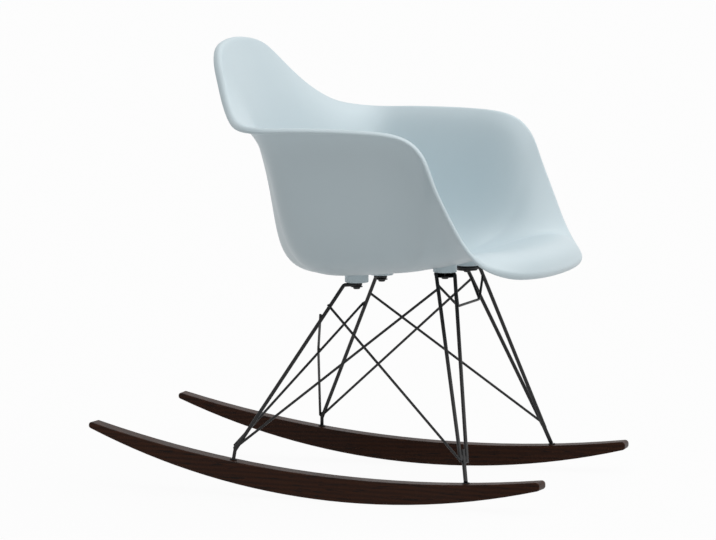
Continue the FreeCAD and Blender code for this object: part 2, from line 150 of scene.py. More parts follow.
class NodeGroup(TreeBuilder):
    """A node group with named sockets.

    Attributes:
        given: The sockets of what the group is given, by name.
        out: The sockets of what it puts out, by name.
    """

    def __init__(
        self,
        name: str,
        kind: str,
        inputs: Sequence[tuple[str, str, object]],
        outputs: Sequence[tuple[str, str]],
    ) -> None:
        """Make the group.

        Args:
            name: The group's name.
            kind: Shader or Geometry.
            inputs: Name, kind of socket and default value of each input.
            outputs: Name and kind of socket of each output.
        """
        super().__init__(bpy.data.node_groups.new(name, f"{kind}NodeTree"))
        face = self.tree.interface
        for label, socket, default in inputs:
            made = face.new_socket(name=label, in_out="INPUT", socket_type=f"NodeSocket{socket}")
            if default is not None:
                made.default_value = default
        for label, socket in outputs:
            face.new_socket(name=label, in_out="OUTPUT", socket_type=f"NodeSocket{socket}")
        self.given = self.add("NodeGroupInput").outputs
        self.out = self.add("NodeGroupOutput").inputs


# Shader groups and finishes


class ShaderGroup(NodeGroup):
    """A shader group in Object coordinates whose sockets are plain numbers."""

    def __init__(self, name: str, inputs: dict[str, float], outputs: Sequence[str]) -> None:
        """Make the group from its inputs' default values and its outputs' names.

        Args:
            name: The group's name.
            inputs: The default value of each input.
            outputs: The outputs' names.
        """
        sockets = [(label, "Float", value) for label, value in inputs.items()]
        super().__init__(name, "Shader", sockets, [(label, "Float") for label in outputs])
        self.place = self.add("ShaderNodeTexCoord").outputs["Object"]

    def mapped(self, turn: Triple, scale: Triple) -> NodeSocket:
        """Return the coordinates turned and stretched."""
        inputs = {"Vector": self.place, "Rotation": turn, "Scale": scale}
        return self.add("ShaderNodeMapping", inputs).outputs["Vector"]

    def noise(self, place: NodeSocket, **inputs: float | NodeSocket) -> NodeSocket:
        """Return a noise over a place."""
        return self.add("ShaderNodeTexNoise", {"Vector": place, **inputs}).outputs["Fac"]

    def stepped(self, mask: NodeSocket, low: float, high: float) -> NodeSocket:
        """Return a mask that goes smoothly from 0 to 1 between two values.

        Args:
            mask: The values.
            low: The value at which the mask is 0.
            high: The value at which it is 1.

        Returns:
            The mask's socket.
        """
        inputs = {"Value": mask, "From Min": low, "From Max": high}
        node = self.add("ShaderNodeMapRange", inputs, interpolation_type="SMOOTHSTEP")
        return node.outputs["Result"]


def mottle_group() -> NodeTree:
    """Make the group for soft cloudy variation with a fine peel on top.

    Returns:
        A group with the outputs Cloud, from 0 to 1, and Peel, a height.
    """
    sizes = {"Cloud Scale": 6.0, "Peel Scale": 900.0, "Contrast": 1.0}
    group = ShaderGroup("mottle", sizes, ("Cloud", "Peel"))
    cloud = group.noise(group.place, Scale=group.given["Cloud Scale"], Detail=4.0, Roughness=0.6)
    centred = group.maths("SUBTRACT", cloud, 0.5)
    spread = group.maths("MULTIPLY_ADD", centred, group.given["Contrast"], 0.5, clamp=True)
    group.join(spread, group.out["Cloud"])
    peel = group.noise(group.place, Scale=group.given["Peel Scale"], Detail=2.0)
    group.join(peel, group.out["Peel"])
    return group.tree


def scuff_group() -> NodeTree:
    """Make the group for sparse hairline scuffs in two directions.

    Returns:
        A group with the output Scuff, 1 on a scuff and 0 elsewhere.
    """
    group = ShaderGroup("hairline_scuffs", {"Scale": 30.0, "Amount": 0.3}, ("Scuff",))
    found = []
    for turn in ((0.3, 0.1, 0.7), (1.2, 0.9, 2.1)):
        place = group.mapped(turn, (0.06, 1.0, 1.0))
        lines = group.noise(place, Scale=group.given["Scale"], Detail=6.0, Distortion=0.2)
        found.append(group.stepped(lines, 0.66, 0.74))
    both = group.maths("MAXIMUM", *found)
    scaled = group.maths("MULTIPLY", both, group.given["Amount"], clamp=True)
    group.join(scaled, group.out["Scuff"])
    return group.tree


def wood_grain_group() -> NodeTree:
    """Make the group for straight grain that runs along Y.

    Returns:
        A group with the outputs Figure, from 0 to 1, and Pore, 1 in a pore.
    """
    sizes = {"Ring Scale": 55.0, "Pore Scale": 420.0, "Waver": 2.4}
    group = ShaderGroup("straight_grain", sizes, ("Figure", "Pore"))
    place = group.mapped((0.035, 0.3, 0.02), (1.0, 0.07, 1.0))
    waves = {
        "Vector": place,
        "Scale": group.given["Ring Scale"],
        "Distortion": group.given["Waver"],
        "Detail": 4.0,
        "Detail Scale": 1.6,
        "Detail Roughness": 0.7,
    }
    rings = group.add("ShaderNodeTexWave", waves, wave_type="BANDS", bands_direction="Z")
    broad = group.noise(place, Scale=26.0, Detail=5.0)
    mix = {"Factor": 0.45, "A": rings.outputs["Fac"], "B": broad}
    figure = group.add("ShaderNodeMix", mix, data_type="FLOAT")
    group.join(figure.outputs["Result"], group.out["Figure"])
    fibres = group.noise(place, Scale=group.given["Pore Scale"], Detail=3.0)
    group.join(group.stepped(fibres, 0.56, 0.68), group.out["Pore"])
    return group.tree


@dataclass(frozen=True)
class SurfaceEffects:
    """The shared shader groups, each built once."""

    mottle: NodeTree = field(default_factory=mottle_group)
    scuffs: NodeTree = field(default_factory=scuff_group)
    grain: NodeTree = field(default_factory=wood_grain_group)


class Surface(TreeBuilder):
    """One material in the making, with its Principled shader."""

    def __init__(self, name: str) -> None:
        """Start a material with an empty tree and a Principled shader.

        Args:
            name: The material's name.
        """
        self.material = bpy.data.materials.new(name)
        self.material.use_nodes = True
        super().__init__(self.material.node_tree)
        self.tree.nodes.clear()
        self.shader = self.add("ShaderNodeBsdfPrincipled")
        self.out = self.add("ShaderNodeOutputMaterial", {"Surface": self.shader.outputs["BSDF"]})

    def effect(self, group: NodeTree, **inputs: float) -> list[NodeSocket]:
        """Return the outputs of a shared group that has its own values."""
        return list(self.add("ShaderNodeGroup", inputs, node_tree=group).outputs)

    def tint(self, mask: NodeSocket, low: Triple | NodeSocket, high: Triple) -> NodeSocket:
        """Return a colour mixed by a mask from a colour or a socket to a colour.

        Args:
            mask: Where the second colour lies.
            low: The first colour.
            high: The second colour.

        Returns:
            The colour's socket.
        """
        first = (*low, 1.0) if isinstance(low, tuple) else low
        inputs = {"Factor": mask, "A": first, "B": (*high, 1.0)}
        return self.add("ShaderNodeMix", inputs, data_type="RGBA").outputs["Result"]

    def relief(self, height: NodeSocket, strength: float, depth: float) -> NodeSocket:
        """Return a normal from a height, depth being in millimetres."""
        inputs = {"Height": height, "Strength": strength, "Distance": depth * MM}
        return self.add("ShaderNodeBump", inputs).outputs["Normal"]

    def dressed(self, **inputs: object) -> Material:
        """Return the material once the shader's own sockets have their inputs."""
        self.feed(self.shader, inputs)
        return self.material


@dataclass(frozen=True)
class MouldedPlastic:
    """Satin moulded plastic with a barely clouded colour and a fine peel."""

    name: str = "pale_ice_blue_plastic"
    base: Triple = (0.585, 0.69, 0.735)
    cloud: Triple = (0.61, 0.71, 0.75)
    rough: Pair = (0.36, 0.46)
    scuff_rough: float = 0.12

    def build(self, effects: SurfaceEffects) -> Material:
        """Make the material.

        Args:
            effects: The shared shader groups.

        Returns:
            The material.
        """
        made = Surface(self.name)
        cloud, peel = made.effect(effects.mottle, Cloud_Scale=5.0, Peel_Scale=620.0, Contrast=1.8)
        (scuff,) = made.effect(effects.scuffs, Scale=24.0, Amount=0.35)
        rough = made.ranged(cloud, *self.rough)
        return made.dressed(
            Base_Color=made.tint(cloud, self.base, self.cloud),
            Roughness=made.maths("MULTIPLY_ADD", scuff, self.scuff_rough, rough, clamp=True),
            Normal=made.relief(peel, strength=0.22, depth=0.05),
            Specular_IOR_Level=0.42,
        )


@dataclass(frozen=True)
class PowderCoat:
    """Black satin coat with a fine texture and rubbed spots."""

    name: str = "black_satin_coat"
    base: Triple = (0.009, 0.009, 0.0095)
    rubbed: Triple = (0.024, 0.024, 0.025)
    rough: Pair = (0.36, 0.5)
    texture: float = 1500.0

    def build(self, effects: SurfaceEffects) -> Material:
        """Make the material.

        Args:
            effects: The shared shader groups.

        Returns:
            The material.
        """
        made = Surface(self.name)
        sizes = {"Cloud_Scale": 40.0, "Peel_Scale": self.texture, "Contrast": 2.2}
        cloud, peel = made.effect(effects.mottle, **sizes)
        (scuff,) = made.effect(effects.scuffs, Scale=60.0, Amount=0.6)
        return made.dressed(
            Base_Color=made.tint(scuff, self.base, self.rubbed),
            Roughness=made.ranged(cloud, *self.rough),
            Normal=made.relief(peel, strength=0.3, depth=0.04),
            Specular_IOR_Level=0.35,
        )


@dataclass(frozen=True)
class StainedWood:
    """Dark stained hardwood under a satin lacquer, the grain along Y."""

    name: str = "dark_stained_wood"
    early: Triple = (0.046, 0.0145, 0.0055)
    late: Triple = (0.0175, 0.0052, 0.002)
    pore: Triple = (0.008, 0.0027, 0.0012)
    rough: Pair = (0.34, 0.5)

    def build(self, effects: SurfaceEffects) -> Material:
        """Make the material.

        Args:
            effects: The shared shader groups.

        Returns:
            The material.
        """
        made = Surface(self.name)
        figure, pore = made.effect(effects.grain, Ring_Scale=42.0, Pore_Scale=380.0, Waver=3.0)
        cloud, peel = made.effect(effects.mottle, Cloud_Scale=14.0, Peel_Scale=700.0, Contrast=1.6)
        sunk = made.maths("SUBTRACT", peel, pore)
        return made.dressed(
            Base_Color=made.tint(pore, made.tint(figure, self.early, self.late), self.pore),
            Roughness=made.ranged(cloud, *self.rough),
            Normal=made.relief(sunk, strength=0.35, depth=0.06),
            Specular_IOR_Level=0.12,
        )


@dataclass(frozen=True)
class BareMetal:
    """Machined or plated metal with fine tool marks."""

    name: str
    base: Triple
    dull: Triple
    rough: Pair = (0.25, 0.42)

    def build(self, effects: SurfaceEffects) -> Material:
        """Make the material.

        Args:
            effects: The shared shader groups.

        Returns:
            The material.
        """
        made = Surface(self.name)
        cloud, peel = made.effect(effects.mottle, Cloud_Scale=90.0, Peel_Scale=2600.0, Contrast=2.0)
        return made.dressed(
            Base_Color=made.tint(cloud, self.base, self.dull),
            Roughness=made.ranged(cloud, *self.rough),
            Normal=made.relief(peel, strength=0.2, depth=0.02),
            Metallic=1.0,
        )


class Finishes:
    """Every finish of the chair by slot."""

    def __init__(self) -> None:
        """Build the materials."""
        effects = SurfaceEffects()
        makers = {
            Slot.SHELL: MouldedPlastic(),
            Slot.WIRE: PowderCoat(),
            Slot.WOOD: StainedWood(),
            Slot.SCREW: PowderCoat(
                name="black_oxide", base=(0.02, 0.02, 0.021), rough=(0.28, 0.4), texture=2400.0
            ),
            Slot.BRASS: BareMetal("turned_brass", (0.72, 0.53, 0.23), (0.58, 0.41, 0.17)),
            Slot.STEEL: BareMetal("zinc_plate", (0.62, 0.63, 0.64), (0.5, 0.51, 0.52)),
        }
        self.by_slot = {slot: maker.build(effects) for slot, maker in makers.items()}

    def of(self, slot: Slot) -> Material:
        """Return the material of a slot."""
        return self.by_slot[slot]


# Shared mesh work


def new_object(name: str, data: ID) -> Object:
    """Return a new object in the scene that shows a mesh, a lamp or a camera.

    Args:
        name: The name.
        data: The mesh, lamp or camera.

    Returns:
        The object.
    """
    made = bpy.data.objects.new(name, data)
    bpy.context.scene.collection.objects.link(made)
    return made


def closed_object(name: str, mesh: bmesh.types.BMesh) -> Object:
    """Return a new object from a closed mesh, with its faces turned outwards.

    Args:
        name: The name.
        mesh: The mesh, which is freed.

    Returns:
        The object.
    """
    bmesh.ops.recalc_face_normals(mesh, faces=mesh.faces)
    data = bpy.data.meshes.new(name)
    mesh.to_mesh(data)
    mesh.free()
    return new_object(name, data)


def settled(made: Object) -> Object:
    """Turn an object's modifiers into a plain mesh.

    Args:
        made: The object with its modifiers set.

    Returns:
        The same object with the finished mesh and no modifier.
    """
    graph = bpy.context.evaluated_depsgraph_get()
    graph.update()
    source = made.evaluated_get(graph)
    mesh = bpy.data.meshes.new_from_object(source, preserve_all_data_layers=True, depsgraph=graph)
    made.modifiers.clear()
    old = made.data
    made.data = mesh
    mesh.name = made.name
    bpy.data.meshes.remove(old)
    return made


def finish_piece(
    made: Object,
    material: Material,
    nodes: Sequence[str] = (),
) -> None:
    """Dress a piece and hang it on the chair.

    Args:
        made: The finished piece.
        material: Its material.
        nodes: The nodes of the frame that it stands for.
    """
    made.data.materials.clear()
    made.data.materials.append(material)
    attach(made, "root")
    if nodes:
        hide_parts(*nodes)
    LOG.info("%s: %d faces", made.name, len(made.data.polygons))


def turned_mesh(
    mesh: bmesh.types.BMesh, outline: Sequence[Pair], foot: Vector, steps: int
) -> list[bmesh.types.BMVert]:
    """Add an upright turned body to a mesh.

    Args:
        mesh: The mesh that takes the faces.
        outline: Radius and height, from the low pole to the high one.
        foot: Where the body's axis stands.
        steps: Faces round the axis.

    Returns:
        The body's corners.
    """
    rings = []
    for radius, height in outline:
        count = steps if radius else 1
        turns = [2.0 * math.pi * k / count for k in range(count)]
        spots = [Vector((radius * math.cos(t), radius * math.sin(t), height)) for t in turns]
        rings.append([mesh.verts.new((foot + spot) * MM) for spot in spots])
    for low, high in zip(rings, rings[1:]):
        for k in range(steps):
            after = (k + 1) % steps
            corners = [low[k % len(low)], low[after % len(low)]]
            corners += [high[after % len(high)], high[k % len(high)]]
            mesh.faces.new(list(dict.fromkeys(corners)))
    return [corner for ring in rings for corner in ring]


# The seat shell


@dataclass(frozen=True)
class RimStation:
    """The shell's section at one place round the rim.

    Attributes:
        rim: The rim's point.
        way: The direction in which the inner face runs out at the rim.
        flat: How far the seat runs out flat from its middle.
        foot: How far towards the wall the wall's foot lies.
        lift: How high that foot lies above the seat.
        straight: How far the wall runs straight below the rim.
        roll: How far the rim is rolled outward, in degrees.
    """

    rim: Triple
    way: Triple
    flat: float
    foot: float
    lift: float
    straight: float
    roll: float

    def values(self) -> list[float]:
        """Return the numbers of the station as one list."""
        return [*self.rim, *self.way, self.flat, self.foot, self.lift, self.straight, self.roll]

    def mirrored(self) -> "RimStation":
        """Return the station on the other side of the chair.

        Returns:
            The mirror image.
        """
        x, y, z = self.rim
        a, b, c = self.way
        return replace(self, rim=(-x, y, z), way=(-a, b, c))


# From the middle of the front lip round the left arm to the top of the back.
LEFT_RIM = (
    RimStation((0, -356, 367), (0, -0.25, -1), 90, 0.62, 26, 40, 80),
    RimStation((120, -349, 369), (0.02, -0.28, -1), 96, 0.62, 26, 40, 80),
    RimStation((198, -328, 375), (0.2, -0.42, -0.8), 104, 0.64, 26, 40, 75),
    RimStation((255, -303, 395), (0.62, -0.58, -0.25), 110, 0.68, 26, 40, 58),
    RimStation((279, -278, 430), (0.86, -0.42, 0.25), 113, 0.74, 24, 44, 46),
    RimStation((292, -256, 476), (0.78, -0.33, 0.5), 117, 0.8, 22.5, 54, 42),
    RimStation((301, -231, 532), (0.7, -0.28, 0.65), 120, 0.87, 22, 54, 46),
    RimStation((302, -209, 584), (0.74, -0.23, 0.62), 122, 0.91, 22.5, 48, 66),
    RimStation((304, -175, 605), (0.78, -0.14, 0.6), 123, 0.93, 23, 44, 88),
    RimStation((311, -105, 611), (0.81, 0, 0.58), 123, 0.94, 23.5, 42, 98),
    RimStation((314, 0, 612), (0.82, 0.06, 0.57), 119, 0.93, 24, 44, 100),
    RimStation((314, 63, 609.5), (0.83, 0.26, 0.48), 109, 0.89, 26, 52, 100),
    RimStation((292, 106, 611), (0.84, 0.5, 0.28), 99, 0.87, 28, 58, 100),
    RimStation((246, 140, 623), (0.66, 0.66, 0.36), 90, 0.87, 32, 69, 100),
    RimStation((200, 170, 651), (0.38, 0.72, 0.56), 89, 0.87, 33, 84, 100),
    RimStation((167, 190, 680), (0.2, 0.64, 0.72), 90, 0.86, 34, 109, 98),
    RimStation((137, 209, 711), (0.12, 0.57, 0.81), 92, 0.85, 35, 138, 95),
    RimStation((95, 223, 739), (0.06, 0.52, 0.85), 94, 0.845, 36, 154, 95),
    RimStation((0, 231, 749.5), (0, 0.5, 0.87), 96, 0.84, 36, 162, 95),
)


@dataclass
class SeatShell:
    """The moulded seat, arms and back in one piece, with the rim rolled outward."""

    wall: float = 5.6
    pole: Vector = field(default_factory=lambda: Vector((0.0, -42.0, 367.0)))
    pole_radius: float = 46.0
    pole_slope: float = -0.075
    pole_rings: int = 3
    steps_out: int = 15
    steps_round: int = 88
    levels: int = 2
    roll_radius: float = 4.0
    roll_flat: float = 1.0
    roll_steps: int = 5
    edge_steps: int = 6
    boss_radius: float = 20.0
    boss_edge: float = 1.6
    boss_top: float = 12.0
    boss_steps: int = 48
    boss_crease: float = math.radians(40.0)
    bore_radius: float = 5.0
    bore_depth: float = 9.0
    boss_sunk: float = 0.45

    @property
    def level(self) -> Vector:
        """The seat's upward normal at its middle."""
        return Vector((0.0, -self.pole_slope, 1.0)).normalized()

    def loop(self) -> list[list[float]]:
        """Return the stations' numbers for the whole rim."""
        whole = [*LEFT_RIM, *(station.mirrored() for station in reversed(LEFT_RIM[1:-1]))]
        return [station.values() for station in whole]

    def blended(self, loop: list[list[float]], where: float) -> list[float]:
        """Return the station's numbers at a place along the loop by a cubic blend.

        Args:
            loop: The stations' numbers.
            where: The place, counted in stations.

        Returns:
            The numbers there.
        """
        start = math.floor(where)
        t = where - start
        picked = [loop[(start + k) % len(loop)] for k in (-1, 0, 1, 2)]
        out = []
        for a, b, c, d in zip(*picked):
            square = 2.0 * a - 5.0 * b + 4.0 * c - d
            cube = 3.0 * b - a - 3.0 * c + d
            out.append(0.5 * (2.0 * b + (c - a) * t + square * t**2 + cube * t**3))
        return out

    def even_places(self, loop: list[list[float]], fine_steps: int = 24) -> list[float]:
        """Return places along the loop that are evenly spaced on the rim.

        Args:
            loop: The stations' numbers.
            fine_steps: Steps between two stations when the rim is measured.

        Returns:
            The places, counted in stations.
        """
        fine = fine_steps * len(loop)
        reached = [0.0]
        last = Vector(self.blended(loop, 0.0)[:3])
        for k in range(1, fine + 1):
            here = Vector(self.blended(loop, len(loop) * k / fine)[:3])
            reached.append(reached[-1] + (here - last).length)
            last = here
        places = []
        k = 0
        for i in range(self.steps_round):
            target = reached[-1] * i / self.steps_round
            while reached[k + 1] < target:
                k += 1
            share = (target - reached[k]) / (reached[k + 1] - reached[k])
            places.append(len(loop) * (k + share) / fine)
        return places

    @staticmethod
    def on_spline(hull: Sequence[Vector], t: float) -> Vector:
        """Return a point on the clamped cubic spline of five control points.

        Args:
            hull: The five control points.
            t: From 0 at the first point to 2 at the last.

        Returns:
            The point.
        """
        knots = (0.0, 0.0, 0.0, 0.0, 1.0, 2.0, 2.0, 2.0, 2.0)
        span = 4 if t >= 1.0 else 3
        work = [hull[span - 3 + k].copy() for k in range(4)]
        for level in range(1, 4):
            for k in range(3, level - 1, -1):
                low = knots[span - 3 + k]
                high = knots[span + 1 + k - level]
                work[k] = work[k - 1].lerp(work[k], (t - low) / (high - low))
        return work[3]

    def roll_reach(self, turn: float) -> Pair:
        """Return how far a rolled rim goes on past the inner face and how far outward.

        Args:
            turn: How far the rim is rolled, in radians.

        Returns:
            The two distances.
        """
        middle = self.roll_radius + 0.5 * self.wall
        ahead = middle * math.sin(turn) + self.roll_flat * math.cos(turn) + 0.5 * self.wall
        outward = self.roll_radius + 1.5 * self.wall
        outward += self.roll_flat * math.sin(turn) - middle * math.cos(turn)
        return ahead, outward

    def inner_line(self, numbers: list[float], rim_way: Vector) -> list[Vector]:
        """Return the inner face's points from the seat's middle to the rim.

        Args:
            numbers: The station's numbers.
            rim_way: The direction of the rim there.

        Returns:
            The points, the middle of the seat first.
        """
        way = Vector(numbers[3:6]).normalized()
        side = rim_way.cross(way).normalized()
        flat, foot_share, lift, straight, roll = numbers[6:]
        ahead, outward = self.roll_reach(math.radians(roll))
        rim = Vector(numbers[:3]) - way * ahead - side * outward
        angle = math.atan2(rim.y - self.pole.y, rim.x)
        out = Vector((math.cos(angle), math.sin(angle), self.pole_slope * math.sin(angle)))
        first = self.pole + out * self.pole_radius
        second = first + out * flat
        fourth = rim - way * straight
        foot = second.lerp(fourth, foot_share)
        foot.z = second.z + lift + self.pole_slope * (fourth.y - second.y)
        hull = (first, second, foot, fourth, rim)
        rings = [self.pole.lerp(first, k / self.pole_rings) for k in range(1, self.pole_rings)]
        steps = range(self.steps_out + 1)
        return rings + [self.on_spline(hull, 2.0 * k / self.steps_out) for k in steps]

    def section(self, line: list[Vector], normals: list[Vector], roll: float) -> list[Vector]:
        """Return a closed section: the inner face, the rolled rim, the outer face.

        Args:
            line: The inner face's points.
            normals: The inner face's normals at them.
            roll: How far the rim is rolled, in radians.

        Returns:
            The section's points from the middle of the seat out and back again.
        """
        pairs = [(point, point - normal * self.wall) for point, normal in zip(line, normals)]
        along = (line[-1] - line[-2]).normalized()
        out = -normals[-1]
        reach = self.roll_radius + self.wall
        bend = line[-1] + out * reach
        for k in range(1, self.roll_steps + 1):
            turn = roll * k / self.roll_steps
            ray = along * math.sin(turn) - out * math.cos(turn)
            pairs.append((bend + ray * reach, bend + ray * self.roll_radius))
        last_in, last_out = pairs[-1]
        ray = (last_in - last_out).normalized()
        ahead = along * math.cos(roll) + out * math.sin(roll)
        last_in, last_out = last_in + ahead * self.roll_flat, last_out + ahead * self.roll_flat
        pairs.append((last_in, last_out))
        middle = (last_in + last_out) * 0.5
        points = [pair[0] for pair in pairs]
        for k in range(1, self.edge_steps):
            turn = math.pi * k / self.edge_steps
            edge = ray * math.cos(turn) + ahead * math.sin(turn)
            points.append(middle + edge * 0.5 * self.wall)
        return points + [pair[1] for pair in reversed(pairs)]

    def columns(self, step: float = 0.05) -> list[list[Vector]]:
        """Return the control points of the whole skin, one column a section.

        Args:
            step: How far along the loop the rim's direction is looked for.

        Returns:
            The sections' points.
        """
        loop = self.loop()
        lines = []
        rolls = []
        for place in self.even_places(loop):
            here = self.blended(loop, place)
            ahead = Vector(self.blended(loop, place + step)[:3])
            behind = Vector(self.blended(loop, place - step)[:3])
            lines.append(self.inner_line(here, ahead - behind))
            rolls.append(math.radians(here[-1]))
        grid = []
        for i, line in enumerate(lines):
            before = lines[i - 1]
            after = lines[(i + 1) % len(lines)]
            normals = [self.level] * self.pole_rings
            for j in range(self.pole_rings, len(line)):
                radial = line[min(j + 1, len(line) - 1)] - line[j - 1]
                normals.append(radial.cross(after[j] - before[j]).normalized())
            grid.append(self.section(line, normals, rolls[i]))
        return grid

    def skin(self) -> Object:
        """Return the shell as a smooth closed mesh.

        Returns:
            The shell's object.
        """
        mesh = bmesh.new()
        rows = [[mesh.verts.new(point * MM) for point in column] for column in self.columns()]
        top = mesh.verts.new(self.pole * MM)
        under = mesh.verts.new((self.pole - self.level * self.wall) * MM)
        for i, column in enumerate(rows):
            after = rows[(i + 1) % len(rows)]
            mesh.faces.new((top, column[0], after[0]))
            mesh.faces.new((under, after[-1], column[-1]))
            for j in range(len(column) - 1):
                mesh.faces.new((column[j], column[j + 1], after[j + 1], after[j]))
        made = closed_object("moulded_shell", mesh)
        smooth = made.modifiers.new("surface", "SUBSURF")
        smooth.levels = smooth.render_levels = self.levels
        settled(made).data.shade_smooth()
        return made

    def bosses(self, spots: Sequence[Vector], shell: BVHTree) -> Object:
        """Return the four bosses under the seat, their tops inside the shell's wall.

        Args:
            spots: The screw's place on the lower face of each boss on one side.
            shell: The shell's faces.

        Returns:
            One object with a boss for each spot and its mirror image.
        """
        mesh = bmesh.new()
        radius, edge, bore, top = self.boss_radius, self.boss_edge, self.bore_depth, self.boss_top
        outline = [(0.0, bore), (self.bore_radius, bore), (self.bore_radius, 0.0)]
        for turn in (math.radians(angle) for angle in (0.0, 22.5, 45.0, 67.5, 90.0)):
            outline.append((radius - edge + edge * math.sin(turn), edge - edge * math.cos(turn)))
        outline += [(radius, top), (0.5 * radius, top), (0.0, top)]
        for foot in (side.place(spot) for spot in spots for side in Side):
            for vert in turned_mesh(mesh, outline, foot, self.boss_steps):
                if vert.co.z > (foot.z + 0.5 * (bore + top)) * MM:
                    below = Vector((vert.co.x, vert.co.y, (foot.z - radius) * MM))
                    hit = shell.ray_cast(below, Vector((0.0, 0.0, 1.0)))[0]
                    vert.co.z = hit.z + self.boss_sunk * self.wall * MM
        made = closed_object("seat_bosses", mesh)
        made.data.shade_smooth()
        made.data.set_sharp_from_angle(angle=self.boss_crease)
        return made

    def build(self, finishes: Finishes, spots: Sequence[Vector]) -> None:
        """Make the shell and its bosses and hang them on the chair.

        Args:
            finishes: The finishes by slot.
            spots: The screws' places on one side.
        """
        plastic = finishes.of(Slot.SHELL)
        skin = self.skin()
        corners = [vert.co.copy() for vert in skin.data.vertices]
        shell = BVHTree.FromPolygons(corners, [face.vertices[:] for face in skin.data.polygons])
        finish_piece(skin, plastic, ("seat_shell",))
        finish_piece(self.bosses(spots, shell), plastic, ("seat_shell",))


# Geometry Nodes for bent rod, weld beads and the frame's own nodes


class GeometryTree(NodeGroup):
    """A group of geometry nodes that works as a modifier."""

    def __init__(self, name: str, inputs: Sequence[tuple[str, str, object]]) -> None:
        """Start the group with a geometry socket in and out.

        Args:
            name: The group's name.
            inputs: Name, kind of socket and default value of each size.
        """
        sockets = [("Geometry", "Geometry", None), *inputs]
        super().__init__(name, "Geometry", sockets, (("Geometry", "Geometry"),))
        self.tree.is_modifier = True

    def attribute(self, name: str, kind: str) -> NodeSocket:
        """Return a named attribute of the points."""
        node = self.add("GeometryNodeInputNamedAttribute", {"Name": name}, data_type=kind)
        return node.outputs["Attribute"]

    def through(
        self, kind: str, shape: NodeSocket, inputs: Feeds | None = None, **values: object
    ) -> NodeSocket:
        """Pass geometry through a new node, from its first input to its first output."""
        return self.add(kind, {0: shape, **(inputs or {})}, **values).outputs[0]

    def put_out(self, shape: NodeSocket) -> None:
        """Smooth the shape, realise it, give it the material and put it out.

        Args:
            shape: The geometry's socket.
        """
        smooth = self.through("GeometryNodeSetShadeSmooth", shape)
        whole = self.through("GeometryNodeRealizeInstances", smooth)
        material = {"Material": self.given["Material"]}
        self.join(self.through("GeometryNodeSetMaterial", whole, material), self.out["Geometry"])

    def apply_to(self, made: Object, values: dict[str, object]) -> None:
        """Put the group on an object as a modifier with its inputs set.

        Args:
            made: The object.
            values: The value of each named input.
        """
        modifier = made.modifiers.new(self.tree.name, "NODES")
        modifier.node_group = self.tree
        sockets = [item for item in self.tree.interface.items_tree if item.in_out == "INPUT"]
        identifiers = {item.name: item.identifier for item in sockets}
        for label, value in values.items():
            modifier[identifiers[label]] = value


def rod_tree() -> GeometryTree:
    """Make the tree that turns lines of points into bent round rod.

    Returns:
        The tree.
    """
    sizes = (("Diameter", "Float", 0.0064), ("Sides", "Int", 24), ("Bend Steps", "Int", 10))
    tree = GeometryTree("bent_rod", (*sizes, ("Material", "Material", None)))
    given = tree.given
    line = tree.through("GeometryNodeMeshToCurve", given["Geometry"])
    bend = {"Count": given["Bend Steps"], "Radius": tree.attribute("bend_radius", "FLOAT")}
    line = tree.through("GeometryNodeFilletCurve", line, bend, mode="POLY")
    radius = tree.maths("MULTIPLY", given["Diameter"], 0.5)
    round_bar = {"Resolution": given["Sides"], "Radius": radius}
    ring = tree.add("GeometryNodeCurvePrimitiveCircle", round_bar)
    profile = {"Profile Curve": ring.outputs["Curve"], "Fill Caps": True}
    tree.put_out(tree.through("GeometryNodeCurveToMesh", line, profile))
    return tree


def bead_tree(ripple: float = 420.0, height: float = 0.0016) -> GeometryTree:
    """Make the tree that lays an uneven weld bead at every point.

    Args:
        ripple: The scale of the noise that makes the beads uneven.
        height: How far it moves their faces.

    Returns:
        The tree.
    """
    sizes = (("Width", "Float", 0.0052), ("Seed", "Int", 7), ("Material", "Material", None))
    tree = GeometryTree("weld_beads", sizes)
    given = tree.given
    radius = tree.maths("MULTIPLY", given["Width"], 0.5)
    bead = tree.add("GeometryNodeMeshIcoSphere", {"Subdivisions": 4, "Radius": radius})
    run = tree.attribute("run", "FLOAT_VECTOR")
    length = tree.add("ShaderNodeVectorMath", {0: run}, operation="LENGTH")
    size = tree.add("ShaderNodeCombineXYZ", {"X": 1.0, "Y": 1.0, "Z": length.outputs["Value"]})
    turn = tree.add("FunctionNodeAlignRotationToVector", {"Vector": run}, axis="Z")
    laid = {
        "Instance": bead.outputs["Mesh"],
        "Rotation": turn.outputs["Rotation"],
        "Scale": size.outputs["Vector"],
    }
    shape = tree.through("GeometryNodeInstanceOnPoints", given["Geometry"], laid)
    shape = tree.through("GeometryNodeRealizeInstances", shape)
    noise = {"W": given["Seed"], "Scale": ripple}
    uneven = tree.add("ShaderNodeTexNoise", noise, noise_dimensions="4D")
    about = {0: uneven.outputs["Color"], 1: (0.5, 0.5, 0.5)}
    centred = tree.add("ShaderNodeVectorMath", about, operation="SUBTRACT")
    scaled = {0: centred.outputs["Vector"], "Scale": height}
    moved = tree.add("ShaderNodeVectorMath", scaled, operation="SCALE")
    offset = {"Offset": moved.outputs["Vector"]}
    tree.put_out(tree.through("GeometryNodeSetPosition", shape, offset))
    return tree


